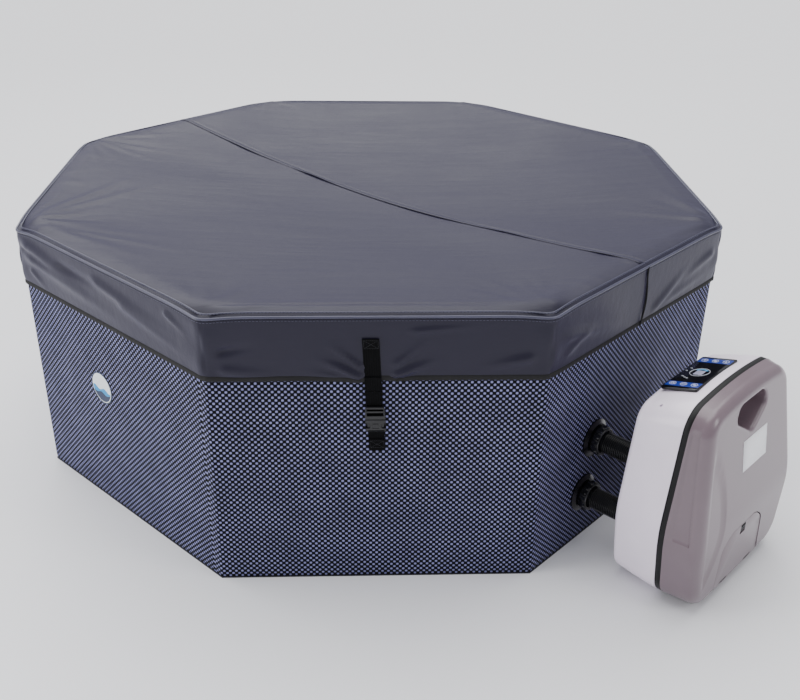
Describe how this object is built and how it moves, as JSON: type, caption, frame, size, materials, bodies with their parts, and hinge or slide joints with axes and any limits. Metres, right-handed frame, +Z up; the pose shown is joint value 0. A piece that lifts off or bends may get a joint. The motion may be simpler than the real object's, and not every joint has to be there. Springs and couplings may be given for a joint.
{
  "type": "foam-wall hot tub",
  "caption": "Eight-sided portable hot tub with foam walls in a woven jacket, a folding leatherette cover held by buckled straps, and a pump and heater unit on short hoses.",
  "frame": {"origin": "centre of the tub's octagonal underside, on the ground", "axes": "+Z up; -Y out of the front side, which carries the front strap; the pump and heater unit stands off the side between -Y and +X"},
  "size_m": [1.9567, 2.0061, 0.712],
  "materials": {
    "jacket_base": "matte woven laminate",
    "mat_foam": "closed-cell foam",
    "wall_foam": "closed-cell foam",
    "woven_jacket": "woven-look laminate",
    "liner_vinyl": "smooth vinyl",
    "fitting_plastic": "gloss",
    "hose_plastic": "gloss corrugated",
    "webbing": "woven webbing",
    "buckle_plastic": "moulded satin",
    "cover_leatherette": "leatherette",
    "cover_foam": "foam",
    "light_shell": "satin pearl",
    "taupe_shell": "satin",
    "latch_plastic": "satin",
    "seal_rubber": "satin",
    "inner_plastic": "moulded",
    "filter_paper": "pleated",
    "motor_steel": "painted",
    "heater_steel": "brushed",
    "panel_gloss": "gloss",
    "board_green": "lacquered board",
    "foot_rubber": "matte",
    "screw_steel": "zinc plated",
    "key_blue": "satin membrane"
  },
  "bodies": {
    "tub": {"ground_sheet": "jacket_base", "floor_mat": "mat_foam", "foam_walls": "wall_foam", "outer_jacket": "woven_jacket", "inner_liner": "liner_vinyl", "air_ring": "liner_vinyl", "wall_fittings": "fitting_plastic", "wall_flange_nuts": "fitting_plastic", "line_strainers": "fitting_plastic", "drain_valve": "fitting_plastic", "corrugated_hoses": "hose_plastic", "tub_straps": "webbing", "buckle_sockets": "buckle_plastic"},
    "drain_cap": {"drain_cap": "fitting_plastic"},
    "cover_far": {"cover_far_top": "cover_leatherette", "cover_far_foam": "cover_foam", "cover_far_skirt": "cover_leatherette", "cover_far_straps": "webbing"},
    "cover_near": {"cover_near_top": "cover_leatherette", "cover_near_foam": "cover_foam", "cover_near_skirt": "cover_leatherette", "cover_near_straps": "webbing"},
    "unit": {"rear_shell": "light_shell", "front_shell": "taupe_shell", "shell_seal": "seal_rubber", "filter_housing": "inner_plastic", "filter_cartridge": "filter_paper", "pump_casing": "inner_plastic", "pump_motor": "motor_steel", "heater_tube": "heater_steel", "heater_element": "heater_steel", "water_pipes": "inner_plastic", "blower_housing": "inner_plastic", "blower_motor": "motor_steel", "control_panel": "panel_gloss", "control_board": "board_green", "feet": "foot_rubber", "case_screws": "screw_steel", "cable_gland": "fitting_plastic"},
    "filter_door": {"filter_door": "taupe_shell"},
    "door_latch": {"door_latch": "latch_plastic"},
    "filter_cap": {"filter_cap": "inner_plastic"},
    "pump_rotor": {"pump_rotor": "inner_plastic"},
    "blower_fan": {"blower_fan": "inner_plastic"},
    "front_plug": {"front_buckle_plug": "buckle_plastic"},
    "left_plug": {"left_buckle_plug": "buckle_plastic"},
    "right_plug": {"right_buckle_plug": "buckle_plastic"},
    "back_plug": {"back_buckle_plug": "buckle_plastic"},
    "air_wall_nut": {"air_wall_nut": "fitting_plastic"},
    "air_unit_nut": {"air_unit_nut": "fitting_plastic"},
    "return_wall_nut": {"return_wall_nut": "fitting_plastic"},
    "return_unit_nut": {"return_unit_nut": "fitting_plastic"},
    "suction_wall_nut": {"suction_wall_nut": "fitting_plastic"},
    "suction_unit_nut": {"suction_unit_nut": "fitting_plastic"},
    "left_key_1": {"left_key_1": "key_blue"},
    "left_key_2": {"left_key_2": "key_blue"},
    "left_key_3": {"left_key_3": "key_blue"},
    "right_key_1": {"right_key_1": "key_blue"},
    "right_key_2": {"right_key_2": "key_blue"},
    "right_key_3": {"right_key_3": "key_blue"}
  },
  "joints": [
    {"name": "cover_lift", "type": "slide", "parent": "tub", "child": "cover_far", "axis": [0, 0, 1], "range_m": [0, 0.25]},
    {"name": "cover_fold", "type": "hinge", "parent": "cover_far", "child": "cover_near", "pos_m": [0, 0, 0.7125], "axis": [-0.7071, 0.7071, 0], "range_deg": [0, 165]},
    {"name": "unit_pull_off", "type": "slide", "parent": "tub", "child": "unit", "axis": [0.7071, -0.7071, 0], "range_m": [0, 0.25]},
    {"name": "door_hinge", "type": "hinge", "parent": "unit", "child": "filter_door", "pos_m": [0.87009, -0.93232, 0.029], "axis": [0.7071, 0.7071, 0], "range_deg": [0, 95]},
    {"name": "latch_slide", "type": "slide", "parent": "filter_door", "child": "door_latch", "axis": [0, 0, -1], "range_m": [0, 0.005], "stiffness_N_per_m": 200},
    {"name": "filter_cap_twist", "type": "hinge", "parent": "unit", "child": "filter_cap", "pos_m": [0.85984, -0.92207, 0.097], "axis": [0.7071, -0.7071, 0], "range_deg": [0, 60]},
    {"name": "pump_spin", "type": "hinge", "parent": "unit", "child": "pump_rotor", "pos_m": [0.89237, -0.74812, 0.14], "axis": [0.7071, -0.7071, 0], "continuous": true},
    {"name": "blower_spin", "type": "hinge", "parent": "unit", "child": "blower_fan", "pos_m": [0.68943, -0.89449, 0.29], "axis": [0.7071, -0.7071, 0], "continuous": true},
    {"name": "drain_cap_screw", "type": "hinge", "parent": "tub", "child": "drain_cap", "pos_m": [0.65407, 0.65407, 0.06], "axis": [0.7071, 0.7071, 0], "continuous": true},
    {"name": "front_buckle_release", "type": "slide", "parent": "cover_near", "child": "front_plug", "axis": [0, 0, 1], "range_m": [0, 0.03]},
    {"name": "left_buckle_release", "type": "slide", "parent": "cover_near", "child": "left_plug", "axis": [0, 0, 1], "range_m": [0, 0.03]},
    {"name": "right_buckle_release", "type": "slide", "parent": "cover_far", "child": "right_plug", "axis": [0, 0, 1], "range_m": [0, 0.03]},
    {"name": "back_buckle_release", "type": "slide", "parent": "cover_far", "child": "back_plug", "axis": [0, 0, 1], "range_m": [0, 0.03]},
    {"name": "air_wall_nut_screw", "type": "hinge", "parent": "tub", "child": "air_wall_nut", "pos_m": [0.55154, -0.7566, 0.29], "axis": [0.7071, -0.7071, 0], "continuous": true},
    {"name": "air_unit_nut_screw", "type": "hinge", "parent": "tub", "child": "air_unit_nut", "pos_m": [0.63074, -0.8358, 0.29], "axis": [0.7071, -0.7071, 0], "continuous": true},
    {"name": "return_wall_nut_screw", "type": "hinge", "parent": "tub", "child": "return_wall_nut", "pos_m": [0.53245, -0.7757, 0.14], "axis": [0.7071, -0.7071, 0], "continuous": true},
    {"name": "return_unit_nut_screw", "type": "hinge", "parent": "tub", "child": "return_unit_nut", "pos_m": [0.61165, -0.85489, 0.14], "axis": [0.7071, -0.7071, 0], "continuous": true},
    {"name": "suction_wall_nut_screw", "type": "hinge", "parent": "tub", "child": "suction_wall_nut", "pos_m": [0.7262, -0.58195, 0.14], "axis": [0.7071, -0.7071, 0], "continuous": true},
    {"name": "suction_unit_nut_screw", "type": "hinge", "parent": "tub", "child": "suction_unit_nut", "pos_m": [0.80539, -0.66114, 0.14], "axis": [0.7071, -0.7071, 0], "continuous": true},
    {"name": "left_key_1_press", "type": "slide", "parent": "unit", "child": "left_key_1", "axis": [0.1878, -0.1878, -0.9641], "range_m": [0, 0.0006], "stiffness_N_per_m": 1500},
    {"name": "left_key_2_press", "type": "slide", "parent": "unit", "child": "left_key_2", "axis": [0.1878, -0.1878, -0.9641], "range_m": [0, 0.0006], "stiffness_N_per_m": 1500},
    {"name": "left_key_3_press", "type": "slide", "parent": "unit", "child": "left_key_3", "axis": [0.1878, -0.1878, -0.9641], "range_m": [0, 0.0006], "stiffness_N_per_m": 1500},
    {"name": "right_key_1_press", "type": "slide", "parent": "unit", "child": "right_key_1", "axis": [0.1878, -0.1878, -0.9641], "range_m": [0, 0.0006], "stiffness_N_per_m": 1500},
    {"name": "right_key_2_press", "type": "slide", "parent": "unit", "child": "right_key_2", "axis": [0.1878, -0.1878, -0.9641], "range_m": [0, 0.0006], "stiffness_N_per_m": 1500},
    {"name": "right_key_3_press", "type": "slide", "parent": "unit", "child": "right_key_3", "axis": [0.1878, -0.1878, -0.9641], "range_m": [0, 0.0006], "stiffness_N_per_m": 1500}
  ]
}
